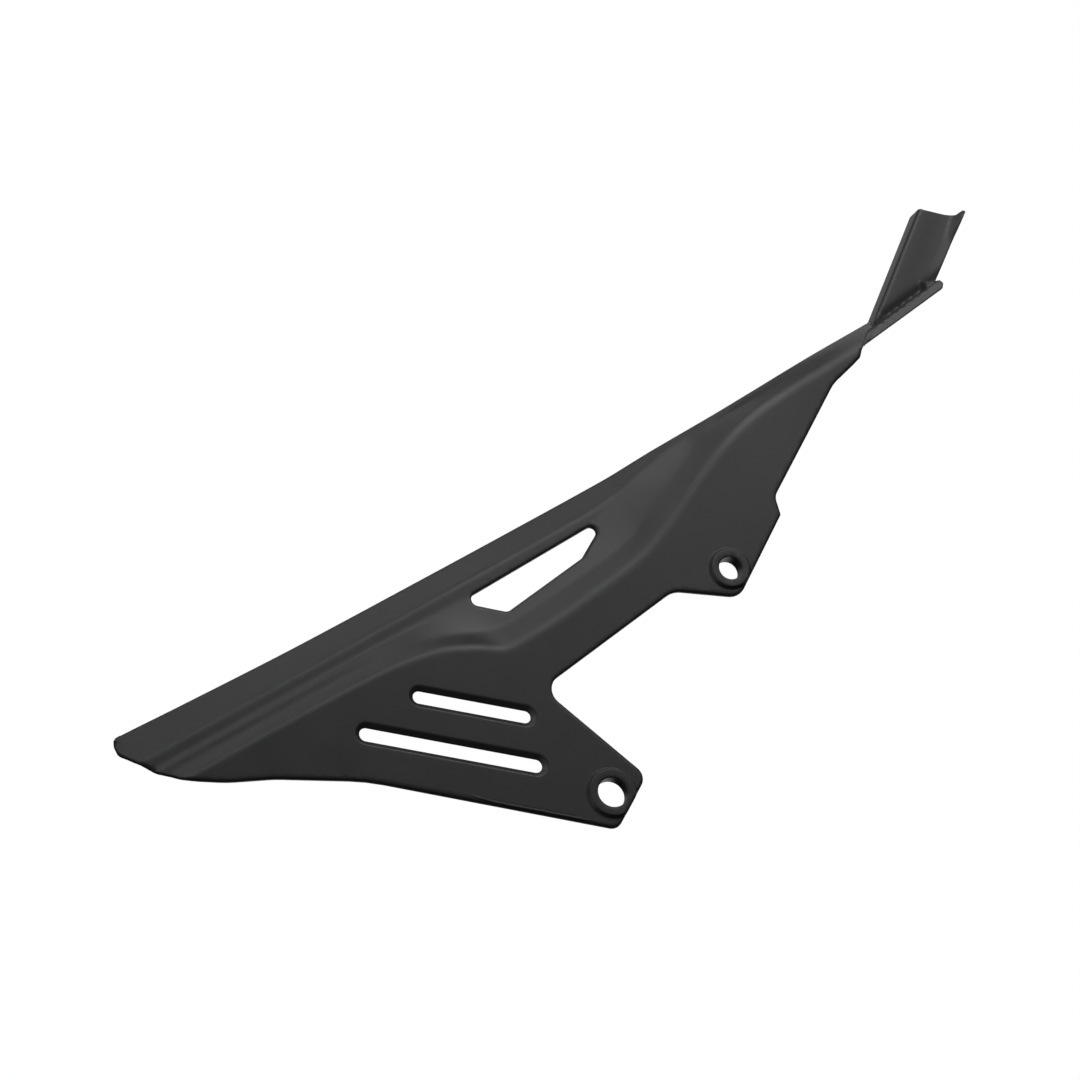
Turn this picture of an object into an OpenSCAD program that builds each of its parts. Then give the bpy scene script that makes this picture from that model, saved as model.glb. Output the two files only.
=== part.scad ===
// Motorcycle chain guard: one moulded piece, open underneath, with a flat roof over the
// chain, a panelled outer side, two bolting ears and a channel-shaped front horn.
// Lengths in millimetres. X runs along the straight top edge from the pointed rear tip
// to the front horn, Y runs inward from the outer side to the wheel, Z runs up.
// The side view below is drawn from the kink where the top edge meets the horn; the
// finished part is moved so that the lower rear mounting hole is at the origin.

/* [Wall] */
// Thickness of the moulded wall
wall = 2.5; // [2:0.1:3]
// Rounding of the long bends between the panels
bend_r = 2.5; // [1.5:0.25:3]

/* [Roof] */
// Length from the kink back to the rear tip
length_rear = 398; // [390:1:406]
// Depth of the outer edge of the roof behind the outer plate, along the rear
roof_edge_y = 16; // [14:0.5:18]
// Depth of the inner edge of the roof behind the outer plate
roof_inner_y = 44; // [40:0.5:52]
// Rise of the roof from its outer edge to its inner edge
roof_rise = 2; // [0.5:0.25:3]
// Height of the turned-down inner edge
flange_h = 12; // [9:0.5:13]

/* [Side panels] */
// Depth of the crease under the sloped upper panel below the kink, along the rear
upper_panel_h = 12.7; // [12:0.1:13.5]
// Depth of the crease under the sloped panel
crease_y = 8.5; // [7.5:0.25:9]
// Height of the step below the crease
step_h = 5.5; // [5:0.25:6]
// Depth at which the two-part shoulder bends over the middle of the guard
valley_y = 4.8; // [4:0.1:5.5]
// Inward set of the outer plate at the neck
neck_in = 5; // [4:0.25:6]

/* [Rear lower mount] */
// Radius of the rear lower hole
rear_hole_r = 6.5; // [5.5:0.1:7]
// Radius of the boss around it at its face
rear_boss_r = 10; // [9.5:0.1:10.5]
// Length of that bore from boss face to inner face
rear_bore_len = 6; // [5:0.25:8]

/* [Front upper mount] */
// Radius of the front upper hole
front_hole_r = 5; // [4:0.1:5.5]
// Radius of the boss around it at its face
front_boss_r = 8; // [7.2:0.1:8.4]
// Length of that bore from boss face to inner face
front_bore_len = 7.5; // [5:0.25:9]
// Distance between the holes along X
hole_span_x = 102.5; // [100:0.5:104]
// Distance between the holes along Z
hole_span_z = 58.5; // [57:0.5:60]

/* [Bosses] */
// Height of the boss faces above the outer plate
boss_h = 1.5; // [1:0.1:2]
// Width of the sloped flank around a boss
boss_flank = 1.3; // [0.8:0.1:1.6]

/* [Slots] */
// Width of the short slot
short_slot_w = 5.5; // [5:0.1:6.5]
// Distance between the end centres of the short slot
short_slot_len = 46; // [42:0.5:48]
// Width of the long slot
long_slot_w = 5.9; // [5.4:0.1:6.9]
// Distance between the end centres of the long slot
long_slot_len = 74; // [70:0.5:76]
// Distance of the centre of the short slot behind the rear hole
short_slot_back = 31.8; // [28:0.1:36]
// Height of the centre of the short slot above the rear hole
short_slot_up = 61; // [59:0.1:62]
// Distance of the centre of the long slot behind the rear hole
long_slot_back = 50.8; // [47:0.1:55]
// Height of the centre of the long slot above the rear hole
long_slot_up = 49.4; // [48:0.1:51]
// Slope of both slots below the horizontal
slot_angle = 39; // [38:0.25:40]
// Width of the dished border round a slot
dish_w = 2.4; // [1.6:0.1:2.6]
// Depth of the dished border
dish_h = 1.3; // [0.8:0.1:1.5]

/* [Edge bead] */
// Radius of the bead along the lower edge
bead_r = 0.8; // [0.6:0.1:1.1]
// Distance from the lower edge to the middle of the bead
bead_in = 1.15; // [1.1:0.05:2]

/* [Front horn] */
// Rise of the horn above the line of the top edge
horn_rise = 35; // [33:0.5:36]
// Width of the horn across its plate
horn_w = 19; // [18:0.25:20]
// Depth of the horn plate behind the outer plate
horn_y = 10; // [9:0.25:11]
// Depth of the inner edge of the horn roof
horn_inner_y = 25; // [22:0.5:28]
// Radius of the outward flare along the free side of the horn
flare_r = 7; // [6:0.25:9]
// Depth of the lower lip and the small ear in front of the horn plate
lip_out = 5; // [4:0.25:6]

/* [Hidden] */
$fn = 64;
plastic = [0.05, 0.05, 0.055];
eps = 0.01;

// centres of the two holes, measured from the kink
rear_x = -223.5;
rear_z = -122.5;
front_x = rear_x + hole_span_x;
front_z = rear_z + hole_span_z;

// the tail is drawn this long behind the rear hole, and stretches with length_rear
tail_drawn = 174.5;
tail_k = (length_rear + rear_x) / tail_drawn;
function built(x) = x < rear_x ? rear_x + (x - rear_x) * tail_k : x;
function drawn(x) = x < rear_x ? rear_x + (x - rear_x) / tail_k : x;

// lower edge of the tail, straight between these two corners
tail_low = [built(-314.7), -67.3];
ear_low = [rear_x - 6.4, rear_z - 14.4];

// side outline, as corners with their radii: rear tip, lower edge, rear ear, notch,
// front ear, neck, then back over the roof
neck_low = [-10, -8.4];
outline = [
    [built(-392.1), 12, 0],
    [built(-392.1), 6.1, 0],
    [built(-398.6), -2.3, 6],
    [built(-394.9), -10.8, 30],
    [built(-384.7), -29, 40],
    [built(-379), -32.8, 14],
    [built(-368.5), -39.1, 60],
    [built(-349.4), -47.6, 60],
    [tail_low[0], tail_low[1], 90],
    [ear_low[0], ear_low[1], 5],
    [rear_x + 18.1, rear_z - 0.6, 6],
    [rear_x - 0.1, rear_z + 53.2, 7],
    [front_x - 27.2, front_z + 3.6, 10],
    [front_x - 2.9, front_z - 12.4, 7.5],
    [front_x + 34, front_z + 9.6, 1.5],
    [front_x + 36.4, front_z + 17.6, 6],
    [-31.4, -16.2, 20],
    [-18.5, -13.1, 5],
    [-13.5, -11.7, 2],
    [neck_low[0], neck_low[1], 0],
    [1.2, -0.6, 0],
    [1.2, 12, 0]
];

// side cut-out below the step
window = [[-229.9, -18.8, 3], [-215.2, -32.6, 3.5], [-172.2, -27.9, 5], [-151.4, -17.2, 2.4]];

// height of each long bend below the kink, along the guard, as [x, z]
top_path = [
    [-420, 2], [-393, 1.6], [-360, 0.3], [-298, -1.8], [-245, -2.6], [-192, -3.2], [-143, -3.5],
    [-114, -2.5], [-86, -2.1], [-66, -1.5], [-28, -0.3], [0, 0], [10, 0.2]
];
crease_path = [
    [-420, -upper_panel_h], [-200, -upper_panel_h], [-160, -upper_panel_h + 0.1], [-142, -10.8],
    [-130, -8.2], [-120, -6.4], [-110, -4.6], [-98, -3.5], [-72, -2.4], [-40, -1.1], [10, -0.4]
];
valley_path = [
    [-420, -23.5], [-340, -23.5], [-280, -24.5], [-250, -28.5], [-236, -33], [-221, -37],
    [-200, -36.2], [-179, -34.6], [-158, -32.6], [-147, -29.8], [-136, -24.8], [-125, -19.6],
    [-115, -15.9], [-104, -12.4], [-93, -8.4], [-82, -5.6], [-66, -4], [-40, -2.8], [10, -2]
];
foot_path = [
    [-420, -29], [-330, -29.3], [-282, -30.3], [-257, -32.8], [-240, -39.5], [-225, -47.6],
    [-203, -47], [-181, -44.8], [-160, -42.2], [-149, -40], [-139, -36.8], [-128, -32.6],
    [-117, -27.4], [-107, -22.8], [-96, -18.4], [-86, -15], [-75, -11.4], [-64, -8.6], [-40, -6],
    [10, -4.6]
];
// how far each bend comes inward, along the guard, as [x, y]
roof_edge_path = [
    [-420, roof_edge_y], [-170, roof_edge_y], [-143, 14.4], [-125, 12], [-106, 9.4], [-90, 8.6],
    [-40, 8.1], [10, 8]
];
valley_in_path = [
    [-420, 4], [-290, 4], [-228, valley_y], [-100, valley_y], [-60, valley_y + 0.6],
    [-20, neck_in + 1.4], [10, neck_in + 2]
];
plate_path = [
    [-420, 0], [-140, 0], [-90, 0], [-60, 0.9], [-35, 2.8], [-15, neck_in - 0.4],
    [10, neck_in + 0.6]
];
inner_path = [
    [-420, 25], [-398, 27], [-390, 33], [-380, 37.5], [-368, 41], [-350, 43],
    [-320, roof_inner_y], [-80, roof_inner_y], [-40, 38], [-12, 28.5], [10, horn_inner_y]
];
flange_path = [
    [-420, 3.5], [-398, 4], [-375, 9], [-340, flange_h], [-100, flange_h], [-50, 9.5], [-12, 6],
    [10, 4]
];
// radius of the two lower bends, sharp along the rear and soft over the middle
soft_path = [[-420, 2.5], [-290, 2.5], [-250, 6], [-80, 6], [10, 6]];

// smooth curve through a path of [x, value]
function seg(p, x, i = 0) = i >= len(p) - 2 || x < p[i + 1][0] ? i : seg(p, x, i + 1);
function slope_at(p, i) =
    i == 0 || i == len(p) - 1 ? 0 :
    let(a = (p[i][1] - p[i - 1][1]) / (p[i][0] - p[i - 1][0]))
    let(b = (p[i + 1][1] - p[i][1]) / (p[i + 1][0] - p[i][0]))
    a * b <= 0 ? 0 : 2 * a * b / (a + b);
function along(p, x) =
    let(i = seg(p, x), h = p[i + 1][0] - p[i][0], u = (x - p[i][0]) / h)
    let(a = p[i][1], b = p[i + 1][1], da = slope_at(p, i) * h, db = slope_at(p, i + 1) * h)
    a + da * u + (3 * (b - a) - 2 * da - db) * u * u + (2 * (a - b) + da + db) * u * u * u;

// unit direction, and a rounded corner as n + 1 points of its arc
function unit(v) = v / norm(v);
function round_at(a, c, b, r, n) =
    let(u = unit(a - c), v = unit(b - c), turn = acos(max(-1, min(1, u * v))))
    turn > 179.5 || r < eps ? [for (k = [0:n]) c + (k / n - 0.5) * 0.6 * unit(b - a)] :
    let(want = r / tan(turn / 2), cut = min(want, 0.45 * norm(a - c), 0.45 * norm(b - c)))
    let(rr = cut * tan(turn / 2), mid = c + unit(u + v) * rr / sin(turn / 2))
    let(s = c + u * cut - mid, e = c + v * cut - mid)
    let(sweep = 180 - turn, w = unit(e - s * cos(sweep)) * rr)
    [for (k = [0:n]) mid + s * cos(sweep * k / n) + w * sin(sweep * k / n)];

// outline corners [x, z, r] as points, one step of arc every few degrees
function corner_steps(a, c, b) =
    let(u = unit(a - c), v = unit(b - c), turn = acos(max(-1, min(1, u * v))))
    max(1, ceil((180 - turn) / 11));
function flat2(p) = [p[0], p[1]];
function rounded(c) = [
    for (i = [0:len(c) - 1])
        let(a = flat2(c[(i + len(c) - 1) % len(c)]), m = flat2(c[i]), b = flat2(c[(i + 1) % len(c)]))
        for (q = c[i][2] < eps ? [m] : round_at(a, m, b, c[i][2], corner_steps(a, m, b))) q
];

// outer bends of the section at x, from the turned-down inner edge to below the plate, as [y, z]
function roof_z(x) = along(top_path, x) + 0.16 * (along(roof_edge_path, x) - 8);
function bends(x) =
    let(e = along(roof_edge_path, x), cz = along(crease_path, x), vz = along(valley_path, x))
    let(fz = along(foot_path, x), zi = roof_z(x) + roof_rise, iy = along(inner_path, x))
    let(full = min(1, max(0, -(cz + 1) / 10)), cy = 8 + (crease_y - 8) * full)
    let(drop = 1 + (step_h - 1) * min(1, max(0, (-140 - x) / 30)))
    [
        [iy, zi - along(flange_path, x)],
        [iy, zi],
        [e, roof_z(x)],
        [cy, cz],
        [cy - 0.3, cz - drop * full - 0.4],
        [along(valley_in_path, x), vz],
        [along(plate_path, x), fz],
        [along(plate_path, x), -150]
    ];

// the same bends moved inward by the wall
function inward(a, b) = let(d = unit(b - a)) [-d[1], d[0]];
function moved(p, i, t) =
    i == 0 ? p[0] + inward(p[0], p[1]) * t :
    i == len(p) - 1 ? p[i] + inward(p[i - 1], p[i]) * t :
    let(n = inward(p[i - 1], p[i]), m = inward(p[i], p[i + 1]), s = unit(n + m))
    p[i] + s * t / max(0.35, s * n);
// from the roof's outer bend on, each bend of the inner line stays below the one before it
function fall(p, i, t) =
    let(z = moved(p, i, t)[1])
    i <= 2 ? z : min(z, fall(p, i - 1, t) - 0.2);
function inside(p, t) = [for (i = [0:len(p) - 1]) [moved(p, i, t)[0], fall(p, i, t)]];
// rounds every bend, the two lower ones with their own radius
function soften(p, r, low_r) = [
    for (i = [0:len(p) - 1])
        let(turn_r = i == 5 || i == 6 ? low_r : r)
        for (q = i == 0 || i == len(p) - 1 ? [p[i]] : round_at(p[i - 1], p[i], p[i + 1], turn_r, 3)) q
];
function section(x) =
    let(at = drawn(x), outer = bends(at), low_r = along(soft_path, at))
    let(a = soften(outer, bend_r, low_r), b = soften(inside(outer, wall), bend_r, low_r))
    [for (q = a) [x, q[0], q[1]], for (k = [len(b) - 1:-1:0]) [x, b[k][0], b[k][1]]];

// stations along the guard, closer where the panels change
stations = [
    for (x = [
        -401, -396, -390, -380, -366, -350, -330, -300, -282, -270, -261, -252, -244, -236, -228,
        -218, -206, -194, -182, -173, -165, -157, -150, -143, -136, -129, -122, -115, -108, -101,
        -94, -86, -78, -68, -58, -48, -38, -28, -18, -8, 3
    ]) built(x)
];

module shell() {
    rings = [for (x = stations) section(x)];
    n = len(rings[0]);
    m = len(rings);
    points = [for (ring = rings) for (q = ring) q];
    sides = [
        for (i = [0:m - 2]) for (k = [0:n - 1])
            let(a = i * n + k, b = i * n + (k + 1) % n, c = a + n, d = b + n)
            for (f = [[a, d, b], [a, c, d]]) f
    ];
    half = n / 2;
    // each end is a strip between the outer and the inner line
    ends = [
        for (k = [0:half - 2])
            let(a = k, b = k + 1, c = n - 2 - k, d = n - 1 - k, z = (m - 1) * n)
            for (f = [[a, b, c], [a, c, d], [z + a, z + c, z + b], [z + a, z + d, z + c]]) f
    ];
    polyhedron(points = points, faces = concat(sides, ends), convexity = 8);
}

// a side-view shape carried through the whole depth
module across(points, y0, y1) {
    translate([0, y1, 0])
        rotate([90, 0, 0])
            linear_extrude(height = y1 - y0)
                polygon(points);
}

module body() {
    intersection() {
        union() {
            shell();
            boss(rear_x, rear_z, rear_boss_r, rear_bore_len);
            boss(front_x, front_z, front_boss_r, front_bore_len);
        }
        across(rounded(outline), -20, 70);
    }
}

// the roof is swept back to the tip in plan view
tip_plan = [
    [-420, 15.6], [-395.3, 15.6], [-392.6, 17.2], [-390, 20], [-387, 25.5], [-383.5, 34], [-379.5, 43],
    [-379.5, 70], [-420, 70]
];
module tip_sweep() {
    translate([0, 0, -12])
        linear_extrude(height = 30)
            polygon([for (q = tip_plan) [built(q[0]), q[1]]]);
}

// low bead that stiffens the lower edge of the tail
module edge_bead() {
    run = unit(ear_low - tail_low);
    up = [-run[1], run[0]];
    reach = norm(ear_low - tail_low);
    from = tail_low + run * reach * 0.4 + up * bead_in;
    translate([from[0], bead_r * 0.5, from[1]])
        rotate([0, 90 - atan2(run[1], run[0]), 0])
            cylinder(r = bead_r, h = reach * 0.5, $fn = 16);
}

// boss round a hole: proud of the plate with a sloped flank, and thick on the inner side
module boss(x, z, face_r, len) {
    translate([x, -boss_h, z])
        rotate([-90, 0, 0]) {
            cylinder(r1 = face_r, r2 = face_r + boss_flank, h = boss_h + 0.2);
            cylinder(r = face_r, h = len);
        }
}

module bore(x, z, r) {
    translate([x, -20, z])
        rotate([-90, 0, 0])
            cylinder(r = r, h = 60);
}

// a slot round its centre, given from the rear hole, with a dished border on the outer side
module slot_cut(back, up, w, len) {
    translate([built(rear_x - back), 0, rear_z + up])
        rotate([-90, slot_angle, 0])
            translate([-len / 2, 0, 0]) {
                for (d = [0, len])
                    translate([d, 0, -5])
                        cylinder(r = w / 2, h = 5 + 2 * wall + 2);
                translate([0, -w / 2, -5])
                    cube([len, w, 5 + 2 * wall + 2]);
                for (d = [0, len])
                    translate([d, 0, -0.2])
                        cylinder(r1 = w / 2 + dish_w + 0.2 * dish_w / dish_h, r2 = w / 2, h = dish_h + 0.2);
                rotate([90, 0, 90])
                    linear_extrude(height = len)
                        polygon([
                            [-w / 2 - dish_w * (1 + 0.2 / dish_h), -0.2],
                            [w / 2 + dish_w * (1 + 0.2 / dish_h), -0.2],
                            [w / 2, dish_h],
                            [-w / 2, dish_h]
                        ]);
            }
}

// section of the horn: its roof, its plate, and the flare of the free side, as [down, depth]
module horn_section() {
    flat = horn_w - flare_r * sin(60);
    translate([horn_drop, horn_y])
        square([wall, horn_inner_y - horn_y]);
    translate([horn_drop, horn_y])
        square([flat - horn_drop, wall]);
    translate([flat, horn_y - flare_r])
        intersection() {
            difference() {
                circle(r = flare_r + wall);
                circle(r = flare_r);
            }
            polygon([[-eps, 0], [-eps, 20], [30, 20], [30 * sin(60), 30 * cos(60)], [0, 0]]);
        }
}

horn_drop = 2;
horn_outline = [
    [-2, -4, 0], [30, -2.6, 0], [37, 0.4, 1], [68.2, 21.9, 0.8], [60.8, 23.1, 4], [51.2, 34.1, 0.8],
    [40, 36, 0], [-2, 6, 0]
];

module horn() {
    intersection() {
        rotate([0, 90 - horn_rise, 0])
            translate([0, 0, -12])
                linear_extrude(height = 100)
                    horn_section();
        across(rounded(horn_outline), -5, 60);
    }
}

// solid between four front corners and four back corners, each set in the same order
module block(front, back) {
    polyhedron(
        points = concat(front, back),
        faces = [
            [0, 1, 2], [0, 2, 3], [4, 6, 5], [4, 7, 6], [0, 5, 1], [0, 4, 5],
            [1, 6, 2], [1, 5, 6], [2, 7, 3], [2, 6, 7], [3, 4, 0], [3, 7, 4]
        ]
    );
}

// lower lip of the horn: a strip along X that carries on from the outer side of the neck,
// leans outward and ends at the small ear
lip_y = horn_y - lip_out;
lip_wall = 2.8;
module lower_lip() {
    front = [
        [-12.4, neck_in - 0.3, -8.4],
        [-2.5, neck_in + 2.2, -1.6],
        [31, horn_y + 0.4, -1.2],
        [37.4, lip_y, -3]
    ];
    block(front, [for (q = front) q + [0, lip_wall, 0]]);
}

// small ear: a tab with a sloped rear side
module small_ear() {
    block(
        [[31.6, lip_y, -3.6], [32.6, lip_y, 2.2], [38, lip_y, 1.6], [37.4, lip_y, -3]],
        [[27.5, horn_y + 1, -3.2], [28.5, horn_y + 1, 3.6], [38, horn_y + 1, 1.6], [37.4, horn_y + 1, -3]]
    );
}

module chain_guard() {
    color(plastic)
        translate([-rear_x, 0, -rear_z])
            difference() {
                union() {
                    body();
                    edge_bead();
                    horn();
                    lower_lip();
                    small_ear();
                }
                bore(rear_x, rear_z, rear_hole_r);
                bore(front_x, front_z, front_hole_r);
                slot_cut(short_slot_back, short_slot_up, short_slot_w, short_slot_len);
                slot_cut(long_slot_back, long_slot_up, long_slot_w, long_slot_len);
                across(rounded(window), -5, 20);
                tip_sweep();
            }
}

chain_guard();
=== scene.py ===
"""Visual model of a one-piece moulded motorcycle chain guard, laid out as a Blender add-on."""
import math
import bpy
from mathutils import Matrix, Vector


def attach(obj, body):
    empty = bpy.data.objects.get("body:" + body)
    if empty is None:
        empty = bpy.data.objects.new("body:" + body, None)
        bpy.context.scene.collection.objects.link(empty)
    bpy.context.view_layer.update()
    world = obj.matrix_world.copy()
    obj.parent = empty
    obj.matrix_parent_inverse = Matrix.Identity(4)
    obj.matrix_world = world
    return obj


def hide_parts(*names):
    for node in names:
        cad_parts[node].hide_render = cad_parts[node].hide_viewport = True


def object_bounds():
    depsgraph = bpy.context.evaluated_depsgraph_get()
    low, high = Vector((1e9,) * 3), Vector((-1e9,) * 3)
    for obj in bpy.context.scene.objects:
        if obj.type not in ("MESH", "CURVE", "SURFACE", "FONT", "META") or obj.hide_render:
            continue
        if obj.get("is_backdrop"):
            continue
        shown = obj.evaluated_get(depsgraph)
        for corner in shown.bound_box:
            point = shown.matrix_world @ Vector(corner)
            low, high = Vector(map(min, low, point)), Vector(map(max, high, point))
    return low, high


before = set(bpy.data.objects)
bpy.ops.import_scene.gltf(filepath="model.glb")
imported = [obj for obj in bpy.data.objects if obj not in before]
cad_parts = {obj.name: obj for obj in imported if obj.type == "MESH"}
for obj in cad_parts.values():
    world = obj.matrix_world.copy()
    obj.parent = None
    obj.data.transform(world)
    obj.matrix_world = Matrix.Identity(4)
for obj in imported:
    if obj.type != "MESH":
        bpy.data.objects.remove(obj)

from types import SimpleNamespace

import bmesh
import bpy
import numpy as np
from mathutils import Matrix, Vector
from mathutils.geometry import delaunay_2d_cdt

bl_info = {
    "name": "Chain Guard Builder",
    "version": (1, 0, 0),
    "blender": (4, 5, 0),
    "location": "View3D > Sidebar > Chain Guard",
    "description": "Builds a moulded chain guard with rolled edges, and a plain studio for it",
    "category": "Add Mesh",
}

MM = 0.001
# the shapes below are drawn in millimetres from the kink of the top edge;
# the row's frame starts at the rear lower mounting hole
KINK = np.array([223.5, 0.0, 122.5])
REAR_HOLE = (-223.5, -122.5)
FRONT_HOLE = (-121.0, -64.0)

# bends of the cross-section along the guard, from the roof down, as [x, height]
TOP = [(-420, 2), (-393, 1.6), (-360, .3), (-298, -1.8), (-245, -2.6), (-192, -3.2), (-143, -3.5),
       (-114, -2.5), (-86, -2.1), (-66, -1.5), (-28, -.3), (0, 0), (10, .2)]
CREASE = [(-420, -12.7), (-200, -12.7), (-160, -12.6), (-142, -10.8), (-130, -8.2), (-120, -6.4),
          (-110, -4.6), (-98, -3.5), (-72, -2.4), (-40, -1.1), (10, -.4)]
VALLEY = [(-420, -23.5), (-340, -23.5), (-280, -24.5), (-250, -28.5), (-236, -33), (-221, -37),
          (-200, -36.2), (-179, -34.6), (-158, -32.6), (-147, -29.8), (-136, -24.8),
          (-125, -19.6), (-115, -15.9), (-104, -12.4), (-93, -8.4), (-82, -5.6), (-66, -4.1),
          (-40, -3.3), (10, -2.8)]
FOOT = [(-420, -29), (-330, -29.3), (-282, -30.3), (-257, -32.8), (-240, -39.5), (-225, -47.6),
        (-203, -47), (-181, -44.8), (-160, -42.2), (-149, -40), (-139, -36.8), (-128, -32.6),
        (-117, -27.4), (-107, -22.8), (-96, -18.4), (-86, -15), (-75, -11.9), (-64, -9.8),
        (-40, -8.4), (10, -8)]
# the same along the guard, as [x, inward depth]
ROOF_EDGE = [(-420, 16), (-170, 16), (-143, 14.4), (-125, 12), (-106, 9.4), (-90, 8.6), (-40, 8.1),
             (10, 8)]
VALLEY_IN = [(-420, 4), (-360, 3.5), (-290, 3.4), (-228, 4.8), (-100, 4.8), (-60, 5.6), (-20, 6.9),
             (10, 7.3)]
PLATE_IN = [(-420, 0), (-140, 0), (-90, 0), (-60, .9), (-35, 2.8), (-15, 4.6), (10, 5.6)]
INNER = [(-420, 25), (-398, 27), (-390, 33), (-380, 37.5), (-368, 41), (-350, 43), (-320, 44),
         (-80, 44), (-40, 38), (-12, 28.5), (10, 25)]
# height of the turned-down inner edge, and radius of the shoulder's two bends
FLANGE = [(-420, 3.5), (-398, 4), (-375, 9), (-340, 12), (-100, 12), (-50, 9.5), (-12, 6), (10, 4)]
SOFT = [(-420, 2.5), (-290, 2.5), (-245, 8), (-150, 9), (10, 9)]

# plan sweep of the roof at the tip, as [x, y]
TIP_SWEEP = [(-395.3, 15.6), (-392.6, 17.2), (-390, 20), (-387, 25.5), (-383.5, 34), (-379.5, 43)]

# corners of the side outline and of the cut-out, as [x, z, radius]
OUTLINE = [(-392.1, 6.1, 0), (-398.6, -2.3, 6), (-394.9, -10.8, 30), (-384.7, -29, 40),
           (-379, -32.8, 14), (-368.5, -39.1, 60), (-349.4, -47.6, 60), (-314.7, -67.3, 90),
           (-229.9, -136.9, 5), (-205.4, -123.1, 6), (-223.6, -69.3, 7), (-148.2, -60.4, 10),
           (-123.9, -76.4, 7.5), (-87, -54.4, 1.5), (-84.6, -46.4, 6), (-31.4, -16.2, 20),
           (-18.5, -13.1, 5), (-13.5, -11.7, 2), (-10, -8.4, .6), (1.2, -.6, .6), (1.2, 6, 0)]
WINDOW = [(-229.8, -19.2, 3), (-215.1, -33, 3.5), (-172.1, -28.3, 5), (-151.3, -17.6, 2.4)]
# slots as x and z of the middle, width and length; they run down at the angle, in degrees
SLOTS = {"short": (-255.3, -61.5, 5.5, 46), "long": (-274.3, -73.1, 5.9, 74)}
SLOT_ANGLE = 39
# bosses as x and z of the hole, radius of the flat face, and length of the bore
BOSSES = {"rear": (*REAR_HOLE, 10, 6), "front": (*FRONT_HOLE, 8, 7.5)}
REAR_RADIUS, FRONT_RADIUS, BOSS_FLANK = 6.5, 5, 1.3
# the bead follows this stretch of the lower edge between two corners of the outline
BEAD_FROM, BEAD_TO, BEAD_START, BEAD_END = OUTLINE[7][:2], OUTLINE[8][:2], .40, .90

# the horn runs at this slope from the kink; its corners are [along, down, radius] from there
HORN_RISE, HORN_TOP, HORN_LENGTH = math.radians(35), 2, 59.3
HORN_END = [(2.6, HORN_TOP, 0), (HORN_LENGTH, HORN_TOP, 0), (60.5, 6.9, 0), (62.1, 13.4, 5),
            (63.8, 17.6, 2), (66.7, 19.5, .7), (66.2, 20.7, .5), (32.7, 20.2, .9)]
# lower corners of the lip and the small ear, and where they go in under the neck, as [x, z, radius]
LIP_LINE = [(37.8, 1.7, .9), (38.4, -1.2, 1.3), (36.6, -3, 1.2), (-11.8, -8.3, 0), (-11.6, -7.3, 0),
            (-1.2, -2.2, 0)]
LIP_FOOT, LIP_SLOPE, LIP_TILT = (-7.54, -7.79), .1111, math.radians(6.3)
# depths of the horn's face and roof, the ear and the lip, and radius between face and roof
HORN_Y, HORN_IN, EAR_Y, LIP_Y, HORN_BEND = 10, 25, 7.2, 5.5, 1.6

ARC, BEND = 8, 2.5   # chords in each rounded bend of the section, and radius of its tight bends
# shares of the edge radius, and of a dish's width, at which the rounding has rings of points
EDGE_STEPS = (.06, .22, .5, 1)
DISH_STEPS = (.38, .52, .66, .8, .94, 1.1)
SAME = .02           # points nearer than this count as one
STATION = 2.1        # distance of the section lines along the guard
OUTLINE_GAP, HOLE_GAP = 1.4, 1.2   # longest edge along the outline and along a cut-out

# softboxes as name, place and aim from the guard's middle, size and power
LIGHTS = (("key_softbox", (.42, -.5, .42), (.14, 0, .03), (.35, .35), 1.25),
          ("top_softbox", (.1, 0, 1), (0, 0, 0), (1, .6), .1),
          ("lip_softbox", (.39, -.18, 1), (.13, 0, .03), (.32, .32), .65),
          ("tail_softbox", (-.35, -.55, .8), (-.12, 0, 0), (.6, .6), 1.6),
          ("front_softbox", (.2, -.7, .75), (.05, 0, 0), (.6, .4), .65),
          ("low_softbox", (.45, -.65, .2), (.12, 0, 0), (.4, .4), .6),
          ("side_softbox", (-1.1, -.5, .25), (0, 0, 0), (.8, .8), 1.55),
          ("rear_softbox", (.4, 1.05, .75), (0, 0, 0), (1.4, 1), 1.5),
          ("under_softbox", (.5, 1.2, -.5), (0, 0, 0), (1.2, 1), 3))
WHITE, DIM = (1, 1, 1, 1), .02   # the surround, and its strength for all but the camera
# camera angles in degrees, its distance and sensor, and the picture it frames
AZIMUTH, ELEVATION, ROLL, FAR, SENSOR = -25.5, -8.5, 33.2, 20, 36
PICTURE, PIXEL, KINK_PIXEL = 1080, .42 * MM, (868.8, 322.2)
FLOOR_SIZE, FLOOR_DROP = 60.0, 7


class GuardSizes(bpy.types.PropertyGroup):
    """Sizes of the guard that a user would change."""
    wall: bpy.props.FloatProperty(
        name="Wall", description="Thickness of the moulded wall",
        default=2.5 * MM, unit="LENGTH")
    edge: bpy.props.FloatProperty(
        name="Edge radius", description="Rounding of the edges on the inner side",
        default=.5 * MM, unit="LENGTH")
    outer_edge: bpy.props.FloatProperty(
        name="Outer edge radius", description="Rounding of the edges of the outer side",
        default=1.1 * MM, unit="LENGTH")
    boss_height: bpy.props.FloatProperty(
        name="Boss height", description="Height of the boss faces above the plate",
        default=1.5 * MM, unit="LENGTH")
    dish_width: bpy.props.FloatProperty(
        name="Dish width", description="Width of the dished border round a slot",
        default=2.4 * MM, unit="LENGTH")
    dish_depth: bpy.props.FloatProperty(
        name="Dish depth", description="Depth of the dished border round a slot",
        default=1.3 * MM, unit="LENGTH")
    bead_radius: bpy.props.FloatProperty(
        name="Bead radius", description="Radius of the bead along the lower edge",
        default=.8 * MM, unit="LENGTH")


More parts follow.
